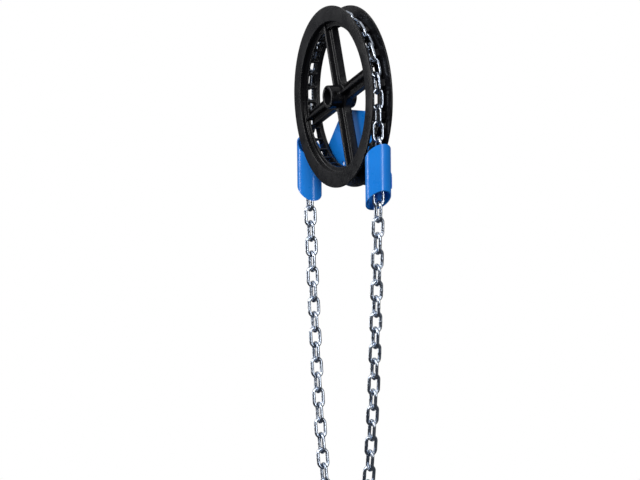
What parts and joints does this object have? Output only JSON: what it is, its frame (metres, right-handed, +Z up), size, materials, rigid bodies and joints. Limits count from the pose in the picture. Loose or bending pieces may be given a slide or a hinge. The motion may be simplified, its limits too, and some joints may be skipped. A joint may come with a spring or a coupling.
{
  "type": "hand chain wheel with guide",
  "caption": "Pocket wheel turned by an endless hand chain, with a plate and two angled tubes that guide the chain on and off the wheel.",
  "frame": {"origin": "middle of the wheel's width on the shaft bore's axis", "axes": "+Y along the bore towards the guide plate, +Z up, +X to the right seen from the front of the wheel"},
  "size_m": [0.2938, 0.0495, 0.9169],
  "materials": {
    "black_paint": "gloss",
    "blue_paint": "gloss",
    "zinc_plate": "bright zinc",
    "connecting_link": "bright zinc",
    "black_oxide": "black oxide"
  },
  "bodies": {
    "guide": {"guide_plate": "blue_paint", "guide_tube_left": "blue_paint", "guide_tube_right": "blue_paint", "tube_welds_left": "blue_paint", "tube_welds_right": "blue_paint", "chain_flat_links_on_wheel": "zinc_plate", "chain_upright_links_on_wheel": "zinc_plate", "chain_in_left_tube": "zinc_plate", "chain_in_right_tube": "zinc_plate"},
    "wheel": {"wheel_hub": "black_paint", "wheel_spoke_1": "black_paint", "wheel_spoke_2": "black_paint", "wheel_spoke_3": "black_paint", "wheel_spoke_4": "black_paint", "rim_floor": "black_paint", "rim_front_flange": "black_paint", "rim_back_flange": "black_paint", "rim_front_lugs": "black_paint", "rim_back_lugs": "black_paint", "set_screws": "black_oxide"},
    "loop_upper": {"chain_upper_left": "zinc_plate", "chain_upper_right": "zinc_plate"},
    "loop_lower": {"chain_lower_left": "zinc_plate", "chain_lower_right": "zinc_plate", "chain_bottom_bend": "zinc_plate", "connecting_link": "connecting_link"}
  },
  "joints": [
    {"name": "wheel_spin", "type": "hinge", "parent": "guide", "child": "wheel", "pos_m": [0, 0, 0], "axis": [0, 1, 0], "continuous": true, "deforming": ["chain_flat_links_on_wheel"]},
    {"name": "chain_swing_upper", "type": "hinge", "parent": "guide", "child": "loop_upper", "pos_m": [0, 0, -0.15956], "axis": [1, 0, 0], "range_deg": [-30, 30]},
    {"name": "chain_swing_lower", "type": "hinge", "parent": "loop_upper", "child": "loop_lower", "pos_m": [0, 0, -0.40893], "axis": [1, 0, 0], "range_deg": [-30, 30]}
  ]
}
